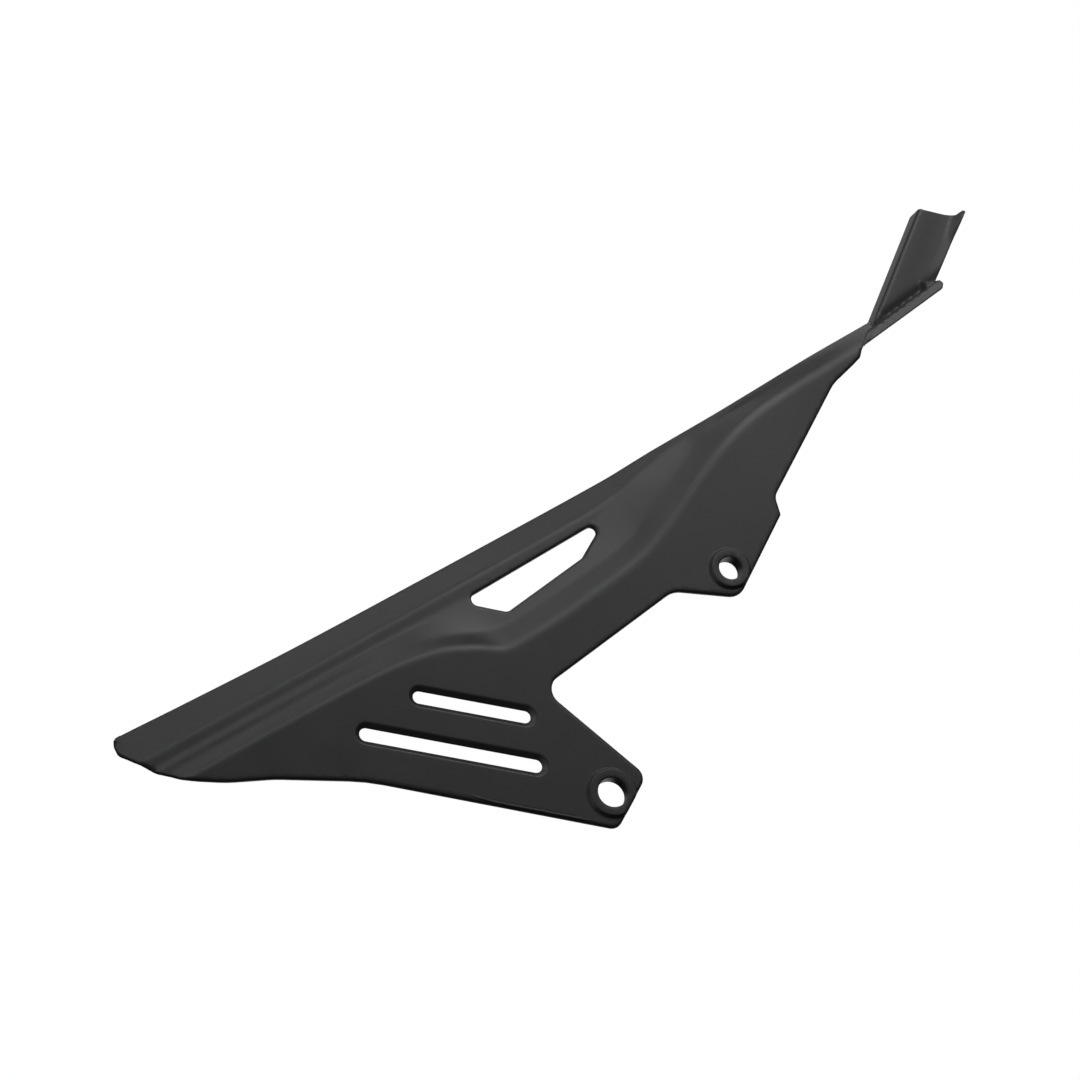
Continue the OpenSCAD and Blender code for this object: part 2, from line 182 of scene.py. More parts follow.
class GuardColours(bpy.types.PropertyGroup):
    """Colours of the guard and its studio."""
    plastic: bpy.props.FloatVectorProperty(
        name="Plastic", description="Colour of the moulded plastic",
        subtype="COLOR", size=3, min=0, max=1, default=(.037, .037, .040))
    floor: bpy.props.FloatVectorProperty(
        name="Floor", description="Colour of the studio floor",
        subtype="COLOR", size=3, min=0, max=1, default=(.82, .82, .82))


# curves and outlines, in millimetres

def along(path, x):
    """Smooth curve through [x, value] points, without overshoot."""
    p = np.asarray(path, float)
    h, d = np.diff(p[:, 0]), np.diff(p[:, 1]) / np.diff(p[:, 0])
    m = np.zeros(len(p))
    both = d[:-1] * d[1:] > 0
    m[1:-1][both] = 2 * d[:-1][both] * d[1:][both] / (d[:-1] + d[1:])[both]
    x = np.asarray(x, float)
    i = np.clip(np.searchsorted(p[:, 0], x, side="right") - 1, 0, len(p) - 2)
    u = (x - p[i, 0]) / h[i]
    a, b, da, db = p[i, 1], p[i + 1, 1], m[i] * h[i], m[i + 1] * h[i]
    return a + da * u + (3 * (b - a) - 2 * da - db) * u ** 2 + (2 * (a - b) + da + db) * u ** 3


def smooth(t):
    """Soft step from 0 to 1."""
    t = np.clip(t, 0, 1)
    return t * t * (3 - 2 * t)


def unit(v):
    """The vector at length 1."""
    return v / max(1e-12, float(np.linalg.norm(v)))


def angle_between(u, v):
    """Angle between two unit vectors, in radians."""
    return math.acos(max(-1, min(1, float(u @ v))))


def arc_at(a, c, b, r, n):
    """n + 1 points of the arc that rounds corner c between a and b."""
    a, c, b = (np.asarray(v, float) for v in (a, c, b))
    u, v = unit(a - c), unit(b - c)
    turn = angle_between(u, v)
    if turn > math.radians(179.5) or r < 1e-6:   # no corner: a short straight row of points
        return [c + (k / n - .5) * .6 * unit(b - a) for k in range(n + 1)]
    cut = min(r / math.tan(turn / 2), .45 * np.linalg.norm(a - c), .45 * np.linalg.norm(b - c))
    rr = cut * math.tan(turn / 2)
    mid = c + unit(u + v) * rr / math.sin(turn / 2)
    s, e, sweep = c + u * cut - mid, c + v * cut - mid, math.pi - turn
    w = unit(e - s * math.cos(sweep)) * rr
    return [mid + s * math.cos(sweep * k / n) + w * math.sin(sweep * k / n) for k in range(n + 1)]


def rounded(corners, step=7):
    """Closed outline from corners [x, z, r], with chords that turn by at most step degrees."""
    out, n = [], len(corners)
    for i in range(n):
        a, c, b = (np.array(corners[j % n][:2], float) for j in (i - 1, i, i + 1))
        r, turn = corners[i][2], math.degrees(angle_between(unit(a - c), unit(b - c)))
        chords = max(2, math.ceil((180 - turn) / step))
        out += [c] if r < 1e-6 else arc_at(a, c, b, r, chords)
    return np.array(out)


def spaced(loop, gap):
    """The same closed line with no edge longer than gap."""
    out = []
    for a, b in zip(loop, np.roll(loop, -1, 0)):
        k = max(1, math.ceil(np.linalg.norm(b - a) / gap))
        out += [a + (b - a) * j / k for j in range(k)]
    return np.array([out[0]] + [q for p, q in zip(out, out[1:]) if np.linalg.norm(q - p) > SAME])


def circle(x, z, r, n=96):
    """Ring of n points."""
    t = np.arange(n) * 2 * math.pi / n
    return np.stack([x + r * np.cos(t), z + r * np.sin(t)], 1)


def slot_loop(x, z, width, length, n=20):
    """Outline of a slot round its middle, running down at the slots' angle."""
    a = -math.radians(SLOT_ANGLE)
    d, s = np.array([math.cos(a), math.sin(a)]), np.array([-math.sin(a), math.cos(a)])
    out = []
    for end in (-1, 1):
        middle = np.array([x, z], float) + end * d * length / 2
        for k in range(n + 1):
            v = math.pi / 2 + math.pi * k / n + (math.pi if end > 0 else 0)
            out.append(middle + width / 2 * (math.cos(v) * d + math.sin(v) * s))
    return np.array(out)


def inside(pts, loop):
    """True for each point inside the closed loop."""
    x, y = pts[:, 0], pts[:, 1]
    hit = np.zeros(len(pts), bool)
    for (x1, y1), (x2, y2) in zip(loop, np.roll(loop, -1, 0)):
        if y1 != y2:
            hit ^= ((y1 > y) != (y2 > y)) & (x < (x2 - x1) * (y - y1) / (y2 - y1) + x1)
    return hit


def distance(pts, loop, closed=True):
    """Distance of each point to the line."""
    a = loop if closed else loop[:-1]
    b = np.roll(loop, -1, 0) if closed else loop[1:]
    best = np.full(len(pts), 1e9)
    for p, q in zip(a, b):
        d = q - p
        t = np.clip(((pts - p) @ d) / max(1e-12, float(d @ d)), 0, 1)
        best = np.minimum(best, np.linalg.norm(pts - p - t[:, None] * d, axis=1))
    return best


def offset(loop, d, side):
    """The loop moved by d to its inside (side 1) or its outside (side -1)."""
    before, after = np.roll(loop, 1, 0), np.roll(loop, -1, 0)
    e1, e2 = loop - before, after - loop
    e1 /= np.linalg.norm(e1, axis=1)[:, None] + 1e-12
    e2 /= np.linalg.norm(e2, axis=1)[:, None] + 1e-12
    t = e1 + e2
    t /= np.linalg.norm(t, axis=1)[:, None] + 1e-12
    area = float(np.sum(loop[:, 0] * after[:, 1] - after[:, 0] * loop[:, 1]))
    normal = np.stack([-t[:, 1], t[:, 0]], 1) * (1 if area > 0 else -1)
    k = np.clip(np.sum(t * e1, 1), .6, 1)
    return loop + normal * side * d / k[:, None]


def field_in(loop, gap, across, up):
    """Staggered field of points inside the loop, away from it by the gap; ranges with steps."""
    gx, gz = np.meshgrid(np.arange(*across), np.arange(*up))
    gx = gx + np.where((np.arange(len(gx)) % 2)[:, None] == 0, 0, across[2] / 2)
    field = np.stack([gx.ravel(), gz.ravel()], 1)
    field = field[inside(field, loop)]
    return field[distance(field, loop) > gap]


def roll(d, r):
    """How far a surface drops at distance d from a cut edge that is rounded by r."""
    t = np.clip(1 - d / r, 0, 1)
    return r * (1 - np.sqrt(np.maximum(0, 1 - t * t)))


# cross-section of the guard

def bends(x):
    """Outer bends of the section, from the turned-down inner edge to below the plate, as [y, z]."""
    edge_y, valley_y, plate_y, inner_y = (float(along(p, x))
                                          for p in (ROOF_EDGE, VALLEY_IN, PLATE_IN, INNER))
    top_z, crease_z, valley_z, foot_z = (float(along(p, x)) for p in (TOP, CREASE, VALLEY, FOOT))
    roof_z = top_z + .16 * (edge_y - 8)
    inner_z = roof_z + 2
    # the sloped panel closes towards the neck, and the step under its crease towards the front
    full = min(1, max(0, -(crease_z + 1) / 10))
    drop = 1 + 4.5 * min(1, max(0, (-140 - x) / 30))
    crease_y = 8 + .5 * full
    return np.array([[inner_y, inner_z - float(along(FLANGE, x))], [inner_y, inner_z],
                     [edge_y, roof_z], [crease_y, crease_z],
                     [crease_y - .3, crease_z - drop * full - .4],
                     [valley_y, valley_z], [plate_y, foot_z], [plate_y, -150]])


def inner_bends(p, wall):
    """The same bends moved inward by the wall."""
    def inward(a, b):
        d = unit(b - a)
        return np.array([-d[1], d[0]])
    out = [p[0] + inward(p[0], p[1]) * wall]
    for i in range(1, len(p)):
        n = inward(p[i - 1], p[i])
        m = inward(p[i], p[i + 1]) if i < len(p) - 1 else n
        s = unit(n + m)
        q = p[i] + s * wall / max(.35, float(s @ n))
        if i > 2:
            q = np.array([q[0], min(q[1], out[-1][1] - .2)])
        out.append(q)
    return np.array(out)


def section(x, wall, outer=True):
    """Rounded section line at x, with the number of its first point below the roof's bend."""
    p = bends(x) if outer else inner_bends(bends(x), wall)
    shoulder, out = float(along(SOFT, x)), [p[0]]
    for i in range(1, len(p) - 1):
        out += arc_at(p[i - 1], p[i], p[i + 1], shoulder if i in (5, 6) else BEND, ARC)
    return np.array(out + [p[-1]]), 2 * (ARC + 1)


class Side:
    """The outer (True) and the inner (False) face as tables of depth over x and z."""

    def __init__(self, wall, x0=-400, x1=4):
        self.xs, self.zs = np.arange(x0, x1 + 1, 1.0), np.arange(-150, 12, .2)
        self.depths, self.tops = {}, {}
        for outer in (True, False):
            depths, tops = [], []
            for x in self.xs:
                line, start = section(x, wall, outer)
                low = line[start:][::-1]
                depths.append(np.interp(self.zs, low[:, 1], low[:, 0]))
                tops.append(line[start][1])
            self.depths[outer], self.tops[outer] = np.array(depths), np.array(tops)

    def depth(self, x, z, outer=True):
        """Depth of the face at the points."""
        table = self.depths[outer]
        fx = np.clip((x - self.xs[0]) / (self.xs[1] - self.xs[0]), 0, len(self.xs) - 1.001)
        fz = np.clip((z - self.zs[0]) / (self.zs[1] - self.zs[0]), 0, len(self.zs) - 1.001)
        i, j = fx.astype(int), fz.astype(int)
        u, v = fx - i, fz - j
        return ((table[i, j] * (1 - v) + table[i, j + 1] * v) * (1 - u)
                + (table[i + 1, j] * (1 - v) + table[i + 1, j + 1] * v) * u)

    def top(self, x, outer=True):
        """Height at which the face meets the roof's bend."""
        return np.interp(x, self.xs, self.tops[outer])


def stations(x0, x1):
    """Places along the guard, from one end of the side's upper edge to the other."""
    return np.linspace(x0, x1, max(2, round((x1 - x0) / STATION)) + 1)


# meshes, each as points in millimetres from the kink and faces

def triangulate(loops, extra):
    """Triangles that fill the first loop round the other loops, through the extra points."""
    verts, edges = [], []
    for loop in loops:
        base = len(verts)
        verts += [Vector(p.tolist()) for p in loop]
        edges += [(base + i, base + (i + 1) % len(loop)) for i in range(len(loop))]
    verts += [Vector(p.tolist()) for p in extra]
    out = delaunay_2d_cdt(verts, edges, [], 1, 1e-4)
    pts = np.array([(v.x, v.y) for v in out[0]])
    tris = np.array([f for f in out[2] if len(f) == 3])
    mid = pts[tris].mean(1)
    keep = inside(mid, loops[0])
    for hole in loops[1:]:
        keep &= ~inside(mid, hole)
    tris = tris[keep]
    a, b, c = pts[tris[:, 0]], pts[tris[:, 1]], pts[tris[:, 2]]
    turn = (b[:, 0] - a[:, 0]) * (c[:, 1] - a[:, 1]) - (b[:, 1] - a[:, 1]) * (c[:, 0] - a[:, 0])
    tris[turn < 0] = tris[turn < 0][:, ::-1]
    return pts, tris


def sheet_faces(tris, n, open_at):
    """Front and back faces over n points, with walls along the edges that aren't left open."""
    faces = [tuple(t) for t in tris] + [tuple(n + t[::-1]) for t in tris]
    edges = {(int(t[i]), int(t[(i + 1) % 3])) for t in tris for i in range(3)}
    for i, j in sorted(edges):
        if (j, i) not in edges and not (open_at[i] and open_at[j]):
            faces.append((j, i, n + i, n + j))
    return faces


def side_outline(side):
    """Free edge of the side, and its upper edge at the foot of the roof's bend."""
    whole = spaced(rounded(OUTLINE), OUTLINE_GAP)
    # the free edge ends at the foot of the bend, where the roof carries on
    below = whole[:, 1] < side.top(whole[:, 0]) - .15
    first = int(np.argmax(below & ~np.roll(below, 1)))
    free = np.roll(whole, -first, 0)[:int(below.sum())]
    xs = stations(free[0][0], free[-1][0])
    free = free[np.r_[True, np.linalg.norm(np.diff(free, axis=0), axis=1) > SAME]]
    return free, np.stack([xs, side.top(xs)], 1)


def side_points(outline, free_count, holes, mm):
    """Points between the side's edges: rings along edges, dishes and bosses, and a field."""
    rings = [offset(outline, mm.outer_edge * k, 1)[1:free_count - 1] for k in EDGE_STEPS]
    field = field_in(outline, 1.6, (-398, 2, STATION), (-138, 4, .85))
    for name, hole in holes.items():
        radius = mm.outer_edge if name == "window" else mm.edge
        dish = [mm.dish_width * k for k in DISH_STEPS] if name in SLOTS else []
        rings += [offset(hole, d, -1) for d in [radius * k for k in EDGE_STEPS] + dish]
        near = mm.dish_width * DISH_STEPS[-1] + .5 if name in SLOTS else HOLE_GAP
        field = field[(distance(field, hole) > near) & ~inside(field, hole)]
    for hx, hz, face, _ in BOSSES.values():
        foot = face + BOSS_FLANK
        rings += [circle(hx, hz, r, 110) for r in np.linspace(face - .5, foot + .5, 8)]
        r = np.hypot(field[:, 0] - hx, field[:, 1] - hz)
        field = field[(r < face - 1) | (r > foot + 1)]
    for i, ring in enumerate(rings):
        keep = inside(ring, outline) & (distance(ring, outline) > SAME)
        for hole in holes.values():
            keep &= ~inside(ring, hole)
        rings[i] = ring[keep]
    return np.concatenate(rings + [field])


def side_mesh(mm):
    """Both faces of the side with its cut-outs, dishes, bosses and rolled edges; its stations."""
    side = Side(mm.wall)
    free, top = side_outline(side)
    outline = np.concatenate([free, top[::-1]])
    holes = {"window": spaced(rounded(WINDOW), HOLE_GAP),
             **{name: spaced(slot_loop(*slot), HOLE_GAP) for name, slot in SLOTS.items()},
             "rear": circle(*REAR_HOLE, REAR_RADIUS),
             "front": circle(*FRONT_HOLE, FRONT_RADIUS, 80)}
    extra = side_points(outline, len(free), holes, mm)
    pts, tris = triangulate([outline, *holes.values()], extra)
    x, z = pts[:, 0], pts[:, 1]
    away = {name: distance(pts, hole) for name, hole in holes.items()}
    # the inner face's points sit lower near the roof, where its bend starts lower
    drop = side.top(x, False) - side.top(x)
    back_z = z + drop * np.clip(1 - (side.top(x) - z) / 10, 0, 1)
    front, back = side.depth(x, z), side.depth(x, back_z, False)
    for name in SLOTS:
        front += mm.dish_depth * (1 - smooth(away[name] / mm.dish_width))
    for hx, hz, face, length in BOSSES.values():
        r = np.hypot(x - hx, z - hz)
        t = smooth((r - face) / BOSS_FLANK)
        front = np.where(r < face + BOSS_FLANK + 1, front * t - (1 - t) * mm.boss_height, front)
        t = smooth((r - face + .2) / .5)
        back = np.where(r < face + 1, back * t + (1 - t) * (length - mm.boss_height), back)
    # the neck's end stays sharp, since it runs into the lip
    rim = distance(pts, free[free[:, 0] < -10.5], False)
    cut = np.min([d for name, d in away.items() if name != "window"], axis=0)
    front = front + roll(np.minimum(rim, away["window"]), mm.outer_edge) + roll(cut, mm.edge)
    back = back - roll(np.minimum(rim, cut), mm.edge)
    verts = np.concatenate([np.stack([x, front, z], 1), np.stack([x, back, back_z], 1)])
    # the upper edge takes the roof's own points, so the two meet without a seam
    n, xs, at_roof = len(pts), top[:, 0], distance(pts, top, False) < 1e-3
    for i in np.nonzero(at_roof)[0]:
        at = xs[int(np.argmin(np.abs(xs - x[i])))]
        for k, outer in ((i, True), (n + i, False)):
            line, start = section(at, mm.wall, outer)
            verts[k] = at, line[start][0], line[start][1]
    return verts, sheet_faces(tris, n, at_roof), xs


def roof_row(x, mm):
    """Outer and inner points of the roof at x, from the flange's free edge to the side."""
    pair = []
    for outer in (True, False):
        line, start = section(x, mm.wall, outer)
        # even points over the roof between its two bends
        last, first = line[ARC + 1], line[ARC + 2]
        mid = [last + (first - last) * t for t in np.linspace(0, 1, 9)[1:-1]]
        low = [line[0] + (line[1] - line[0]) * t for t in (0, *EDGE_STEPS[:-1])]
        pair.append(np.array([*low, *line[1:ARC + 2], *mid, *line[ARC + 2:start + 1]]))
    # the free lower edge of the flange is rounded
    for k, share in enumerate((0, .25, .6)):
        o, i = pair[0][k].copy(), pair[1][k].copy()
        mid = (o + i) / 2
        lift = (1 - math.sqrt(1 - (1 - share) ** 2)) * 2 * mm.edge
        pair[0][k] = o + (mid - o) * min(.8, lift / mm.wall)
        pair[1][k] = i + (mid - i) * min(.8, lift / mm.wall)
    return pair


def roof_mesh(mm, xs):
    """Roof with its outer bend and its turned-down inner edge, from the side's upper edge."""
    rows = [roof_row(x, mm) for x in xs]
    m, k = len(xs), len(rows[0][0])
    n, sweep = m * k, np.array(TIP_SWEEP, float)
    verts, faces = [], []
    for layer in (0, 1):
        for x, row in zip(xs, rows):
            for outer, q in zip(row[0], row[layer]):
                end = float(np.interp(outer[0], sweep[:, 1], sweep[:, 0], left=-1e3))
                verts.append((max(x, end), q[0], q[1]))
    for i in range(m - 1):
        for j in range(k - 1):
            a, b, c, d = i * k + j, i * k + j + 1, (i + 1) * k + j + 1, (i + 1) * k + j
            faces += [(a, b, c, d), (n + d, n + c, n + b, n + a)]
    faces += [(a, a + k, n + a + k, n + a) for a in range(0, n - k, k)]   # the flange's lower edge
    for j in range(k - 1):                                               # the two ends
        e = n - k + j
        faces += [(j, n + j, n + j + 1, j + 1), (e + 1, n + e + 1, n + e, e)]
    return verts, faces


def joined(first, second):
    """Two meshes as one list of points and one of faces."""
    base = len(first[0])
    verts = [tuple(p) for part in (first, second) for p in part[0]]
    return verts, [*first[1], *(tuple(i + base for i in f) for f in second[1])]


def horn_turn(a, b):
    """[along, down] of the horn as [x, z], and also the other way round."""
    c, s = math.cos(HORN_RISE), math.sin(HORN_RISE)
    return a * c + b * s, a * s - b * c


def horn_depth(side, x, z):
    """Depth of the horn's face: plate, curled free side, small ear, and lip below its hollow."""
    t, q = horn_turn(x, z)
    curl = .35 + 2.65 * smooth((t - 50) / 14)
    body = HORN_Y + .25 * smooth((q - 4) / 10) - curl * smooth((q - 15.5) / 5.7)
    # height above the lip's lower edge
    above = (z - LIP_FOOT[1] - LIP_SLOPE * (x - LIP_FOOT[0])) * math.cos(LIP_TILT)
    body += .8 * np.exp(-((above - 4.6) / 2.5) ** 2)
    ear = smooth((x - 28.8 - (z - .6) * .37) / 2.8) * smooth((5.6 - .526 * (x - 31.2) - z) / 1.7)
    body += (EAR_Y - body) * ear
    neck = side.depth(np.minimum(x, 1), np.clip(z, -20, -1.5))
    body = neck + (body - neck) * np.maximum(smooth((q - 1.3) / 6), smooth((t + 1) / 9))
    lip = LIP_Y + .33 * above + 3 * np.maximum(0, above - 3.5) ** 1.3
    # the nearer of the two, with a soft change between them
    soft, base = .6, 5
    y = base - soft * np.log(np.exp(-(body - base) / soft) + np.exp(-(lip - base) / soft))
    # the sheet starts inside the neck's wall and comes out at the neck's end
    return y + np.where(t < 2, .34 - .42 * smooth((q - .3) / .7), 0)


def horn_sheet(mm):
    """Horn, lip and small ear as one sheet that starts inside the neck's wall."""
    corners = [(*horn_turn(t, q), r) for t, q, r in HORN_END] + LIP_LINE
    loop = spaced(rounded(corners), .8)
    top = np.array([c[:2] for c in corners[:2]])
    under = np.array([c[:2] for c in LIP_LINE[3:] + corners[:1]])
    rings = [offset(loop, HORN_BEND * k, 1) for k in (.04, .12, .25, .42, .65, 1)]
    rings = [ring[inside(ring, loop) & (distance(ring, loop) > .03)] for ring in rings]
    field = field_in(loop, 1.9, (-12, 66, .56), (-9, 34, .48))
    pts, tris = triangulate([loop], np.concatenate(rings + [field]))
    x, z, n = pts[:, 0], pts[:, 1], len(pts)
    bend, hidden = distance(pts, top, False), distance(pts, under, False)
    # the edges at the roof and inside the neck aren't rounded
    free = np.where((bend < 1.7) | (hidden < 1.2), 9, distance(pts, loop))
    y = horn_depth(Side(mm.wall, -14), x, z)
    back = y + mm.wall - .1 - roll(free, mm.edge)
    y = y + np.maximum(roll(free, mm.edge), roll(bend, HORN_BEND))
    verts = np.concatenate([np.stack([x, y, z], 1), np.stack([x, back, z], 1)])
    return verts, sheet_faces(tris, n, np.zeros(n, bool))


def horn_roof(mm):
    """Inner roof of the horn as a slab, cut a little aslant at its end."""
    verts, top, under, start = [], HORN_TOP + .01, HORN_TOP + mm.wall, -3
    sides = [(0, 4, 5, 1), (1, 5, 6, 2), (2, 6, 7, 3), (3, 7, 4, 0)]
    for y, end in ((HORN_Y + 1.7, HORN_LENGTH + .2), (HORN_IN, HORN_LENGTH + 2.1)):
        for t, q in ((start, top), (end, top), (end + .6, under), (start, under)):
            x, z = horn_turn(t, q)
            verts.append((x, y, z))
    return verts, [(0, 1, 2, 3), (7, 6, 5, 4), *sides]


# pieces

def new_piece(name, verts, faces, material):
    """Mesh piece in the row's frame, from millimetres measured from the kink."""
    mesh = bpy.data.meshes.new(name)
    pts = (np.asarray(verts, float) + KINK) * MM
    mesh.from_pydata([tuple(p) for p in pts], [], [tuple(int(i) for i in f) for f in faces])
    mesh.validate()
    piece = bpy.data.objects.new(name, mesh)
    bpy.context.scene.collection.objects.link(piece)
    mesh.materials.append(material)
    return piece


def weld(piece, gap=.002):
    """Merges points nearer than the gap and turns every face outwards."""
    bm = bmesh.new()
    bm.from_mesh(piece.data)
    bmesh.ops.remove_doubles(bm, verts=bm.verts, dist=gap * MM)
    bmesh.ops.recalc_face_normals(bm, faces=bm.faces)
    bm.to_mesh(piece.data)
    bm.free()


def clean_seam(piece):
    """Deletes faces that a join left back to back, and fails if the piece isn't closed."""
    bm = bmesh.new()
    bm.from_mesh(piece.data)
    bmesh.ops.triangulate(bm, faces=[f for f in bm.faces if len(f.verts) > 3])
    for _ in range(3):
        bmesh.ops.remove_doubles(bm, verts=bm.verts, dist=.002 * MM)
        same = {}
        for face in bm.faces:
            same.setdefault(frozenset(face.verts), []).append(face)
        doubled = [face for faces in same.values() if len(faces) > 1 for face in faces]
        bmesh.ops.delete(bm, geom=doubled, context="FACES_ONLY")
        bmesh.ops.delete(bm, geom=[e for e in bm.edges if not e.link_faces], context="EDGES")
        bmesh.ops.delete(bm, geom=[v for v in bm.verts if not v.link_faces], context="VERTS")
    bad = sum(len(e.link_faces) != 2 for e in bm.edges)
    bm.to_mesh(piece.data)
    bm.free()
    if bad:
        raise RuntimeError(f"{piece.name} isn't closed at {bad} edges")


def smooth_shade(piece, angle=38):
    """Smooth faces, with the edges above the angle kept sharp."""
    piece.data.shade_smooth()
    piece.data.set_sharp_from_angle(angle=math.radians(angle))


def add_modifier(piece, kind, **settings):
    """New modifier with its settings."""
    mod = piece.modifiers.new(kind.title(), kind)
    for key, value in settings.items():
        setattr(mod, key, value)
    return mod


def settle(piece):
    """Applies the piece's modifiers by taking its evaluated mesh."""
    graph = bpy.context.evaluated_depsgraph_get()
    mesh = bpy.data.meshes.new_from_object(piece.evaluated_get(graph),
                                           preserve_all_data_layers=True, depsgraph=graph)
    old = piece.data
    piece.modifiers.clear()
    piece.data = mesh
    bpy.data.meshes.remove(old)
    mesh.name = piece.name


# node trees

def add_node(tree, kind, values=()):
    """New node with the given values in its inputs."""
    node = tree.nodes.new(kind)
    for name, value in dict(values).items():
        node.inputs[name].default_value = value
    return node


def wire(tree, *wires):
    """Links, each as node, output, node, input."""
    for source, output, target, entry in wires:
        tree.links.new(source.outputs[output], target.inputs[entry])


def moulded_plastic(colour):
    """Satin black moulded plastic: fine spark grain, soft mottling, and a slightly uneven gloss."""
    mat = bpy.data.materials.new("moulded_plastic")
    mat.use_nodes = True
    tree = mat.node_tree
    shader = tree.nodes["Principled BSDF"]
    shader.inputs["IOR"].default_value = 1.49
    shader.inputs["Specular IOR Level"].default_value = .5
    where = add_node(tree, "ShaderNodeTexCoord")
    grain, mottle, flow = (
        add_node(tree, "ShaderNodeTexNoise", {"Scale": scale, "Detail": detail, "Roughness": rough})
        for scale, detail, rough in ((1700, 3, .6), (46, 4, .55), (9, 2, .5)))
    tint = add_node(tree, "ShaderNodeValToRGB")
    for element, place, share in zip(tint.color_ramp.elements, (.3, .72), (.86, 1.13)):
        element.position = place
        element.color = (*[c * share for c in colour], 1)
    blend = add_node(tree, "ShaderNodeMix", {"Factor": .5})
    gloss = add_node(tree, "ShaderNodeMapRange",
                     {"From Min": .3, "From Max": .7, "To Min": .36, "To Max": .46})
    fine = add_node(tree, "ShaderNodeBump", {"Strength": .35, "Distance": .06 * MM})
    wave = add_node(tree, "ShaderNodeBump", {"Strength": .12, "Distance": .6 * MM})
    wire(tree, *((where, "Object", noise, "Vector") for noise in (grain, mottle, flow)),
         (mottle, "Fac", tint, "Fac"), (tint, "Color", shader, "Base Color"),
         (flow, "Fac", blend, "A"), (mottle, "Fac", blend, "B"),
         (blend, "Result", gloss, "Value"), (gloss, "Result", shader, "Roughness"),
         (grain, "Fac", fine, "Height"), (mottle, "Fac", wave, "Height"),
         (fine, "Normal", wave, "Normal"), (wave, "Normal", shader, "Normal"))
    return mat


def plastic_material(scene):
    """The guard's material, made once."""
    made = bpy.data.materials.get("moulded_plastic")
    return made or moulded_plastic(scene.guard_colours.plastic)


def bead_tree(mat):
    """Node tree that runs a round bead along a line of points."""
    tree = bpy.data.node_groups.new("edge_bead", "GeometryNodeTree")
    for name, way, kind in (("Geometry", "INPUT", "Geometry"), ("Radius", "INPUT", "Float"),
                            ("Geometry", "OUTPUT", "Geometry")):
        tree.interface.new_socket(name, in_out=way, socket_type="NodeSocket" + kind)
    start, end = add_node(tree, "NodeGroupInput"), add_node(tree, "NodeGroupOutput")
    curve = add_node(tree, "GeometryNodeMeshToCurve")
    ring = add_node(tree, "GeometryNodeCurvePrimitiveCircle", {"Resolution": 16})
    sweep = add_node(tree, "GeometryNodeCurveToMesh", {"Fill Caps": True})
    real = add_node(tree, "GeometryNodeRealizeInstances")
    paint = add_node(tree, "GeometryNodeSetMaterial", {"Material": mat})
    wire(tree, (start, "Geometry", curve, "Mesh"), (start, "Radius", ring, "Radius"),
         (curve, "Curve", sweep, "Curve"), (ring, "Curve", sweep, "Profile Curve"),
         (sweep, "Mesh", real, "Geometry"), (real, "Geometry", paint, "Geometry"),
         (paint, "Geometry", end, "Geometry"))
    return tree


def bead_line():
    """Middle line of the bead by the lower edge, swung in at its start and sunk at both ends."""
    a, b = np.array(BEAD_FROM), np.array(BEAD_TO)
    d = unit(b - a)
    up = np.array([-d[1], d[0]])
    length = float(np.linalg.norm(b - a))
    pts = []
    for t in np.linspace(BEAD_START, BEAD_END, 40):
        away = 1.15 + 1.3 * max(0, 1 - (t - BEAD_START) / .12) ** 1.5
        sink = .45 + .5 * sum(max(0, 1 - to_end / .05) for to_end in (t - BEAD_START, BEAD_END - t))
        x, z = a + d * length * t + up * away
        pts.append((x, sink, z))
    return pts


def camera_view():
    """Camera's matrix: it looks at the picture's middle, which is measured from the kink."""
    az, el, roll_by = (math.radians(v) for v in (AZIMUTH, ELEVATION, ROLL))
    back = Vector((math.sin(az) * math.cos(el), -math.cos(az) * math.cos(el), math.sin(el)))
    right = Vector((math.cos(az), math.sin(az), 0))
    up = back.cross(right)
    right, up = (right * math.cos(roll_by) - up * math.sin(roll_by),
                 right * math.sin(roll_by) + up * math.cos(roll_by))
    kink = Vector(tuple((KINK + np.array([0, 8, 0])) * MM))
    middle = (kink + right * (PICTURE / 2 - KINK_PIXEL[0]) * PIXEL
              + up * (KINK_PIXEL[1] - PICTURE / 2) * PIXEL)
    return Matrix((*zip(right, up, back, middle + back * FAR), (0, 0, 0, 1)))


def area_light(name, where, aim, size, power):
    """Softbox at a place, turned to its aim."""
    data = bpy.data.lights.new(name, "AREA")
    data.shape, data.size, data.size_y, data.energy = "RECTANGLE", size[0], size[1], power
    lamp = bpy.data.objects.new(name, data)
    bpy.context.scene.collection.objects.link(lamp)
    lamp.location = where
    lamp.rotation_mode = "QUATERNION"
    lamp.rotation_quaternion = (where - aim).to_track_quat("Z", "Y")


def seen_by_camera(tree, kind, unseen, output, seen, surface):
    """Fills a tree with one shader for the camera and another for all other rays."""
    tree.nodes.clear()
    end, mix = add_node(tree, kind), add_node(tree, "ShaderNodeMixShader")
    path = add_node(tree, "ShaderNodeLightPath")
    other, camera = add_node(tree, *unseen), add_node(tree, *seen)
    wire(tree, (path, "Is Camera Ray", mix, "Fac"), (other, output, mix, 1),
         (camera, surface, mix, 2), (mix, "Shader", end, "Surface"))


# operators

